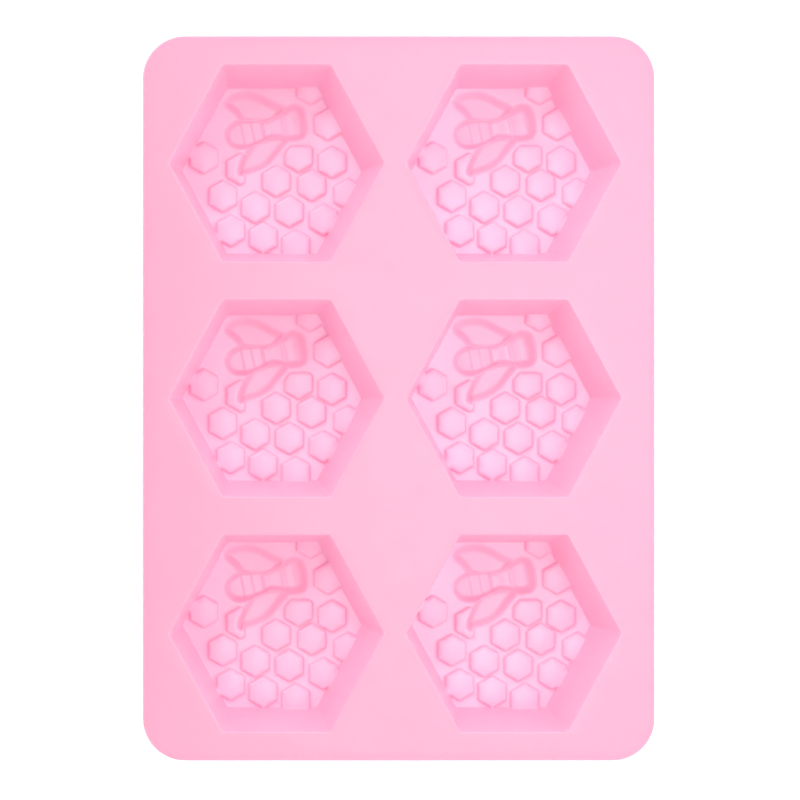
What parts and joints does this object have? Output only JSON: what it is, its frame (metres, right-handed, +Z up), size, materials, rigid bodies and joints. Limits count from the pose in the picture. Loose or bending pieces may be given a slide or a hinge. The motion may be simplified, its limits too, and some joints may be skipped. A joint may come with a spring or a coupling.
{
  "type": "silicone soap mould",
  "caption": "Flexible rounded rectangular sheet mould with a grid of tapered hexagonal cups, each with a bee-on-honeycomb relief in its floor, for casting bars of soap.",
  "frame": {"origin": "centre of the sheet's outline, on the plane the mould stands on, which is the underside of the cups", "axes": "+Z up, out of the open cups; +Y along the length, towards the side the bees' wings point to; +X across the width, towards the bees' heads"},
  "size_m": [0.1694, 0.24, 0.03],
  "materials": {
    "silicone_sheet": "satin pale pink silicone rubber, slightly translucent",
    "silicone_cup": "satin pink silicone rubber, slightly translucent"
  },
  "bodies": {
    "middle_row": {"sheet_middle": "silicone_sheet", "cavity_3_wall": "silicone_cup", "cavity_4_wall": "silicone_cup"},
    "upper_row": {"sheet_upper": "silicone_sheet", "cavity_1_wall": "silicone_cup", "cavity_2_wall": "silicone_cup"},
    "lower_row": {"sheet_lower": "silicone_sheet", "cavity_5_wall": "silicone_cup", "cavity_6_wall": "silicone_cup"},
    "floor_1": {"cavity_1_floor": "silicone_cup"},
    "floor_2": {"cavity_2_floor": "silicone_cup"},
    "floor_3": {"cavity_3_floor": "silicone_cup"},
    "floor_4": {"cavity_4_floor": "silicone_cup"},
    "floor_5": {"cavity_5_floor": "silicone_cup"},
    "floor_6": {"cavity_6_floor": "silicone_cup"}
  },
  "joints": [
    {"name": "upper_row_fold", "type": "hinge", "parent": "middle_row", "child": "upper_row", "pos_m": [-0.0012, 0.039, 0.02875], "axis": [1, 0, 0], "range_deg": [-25, 60], "stiffness_Nm_per_rad": 0.03},
    {"name": "lower_row_fold", "type": "hinge", "parent": "middle_row", "child": "lower_row", "pos_m": [-0.0012, -0.039, 0.02875], "axis": [-1, 0, 0], "range_deg": [-25, 60], "stiffness_Nm_per_rad": 0.03},
    {"name": "cavity_1_release", "type": "slide", "parent": "upper_row", "child": "floor_1", "axis": [0, 0, 1], "range_m": [0, 0.015], "stiffness_N_per_m": 300},
    {"name": "cavity_2_release", "type": "slide", "parent": "upper_row", "child": "floor_2", "axis": [0, 0, 1], "range_m": [0, 0.015], "stiffness_N_per_m": 300},
    {"name": "cavity_3_release", "type": "slide", "parent": "middle_row", "child": "floor_3", "axis": [0, 0, 1], "range_m": [0, 0.015], "stiffness_N_per_m": 300},
    {"name": "cavity_4_release", "type": "slide", "parent": "middle_row", "child": "floor_4", "axis": [0, 0, 1], "range_m": [0, 0.015], "stiffness_N_per_m": 300},
    {"name": "cavity_5_release", "type": "slide", "parent": "lower_row", "child": "floor_5", "axis": [0, 0, 1], "range_m": [0, 0.015], "stiffness_N_per_m": 300},
    {"name": "cavity_6_release", "type": "slide", "parent": "lower_row", "child": "floor_6", "axis": [0, 0, 1], "range_m": [0, 0.015], "stiffness_N_per_m": 300}
  ]
}
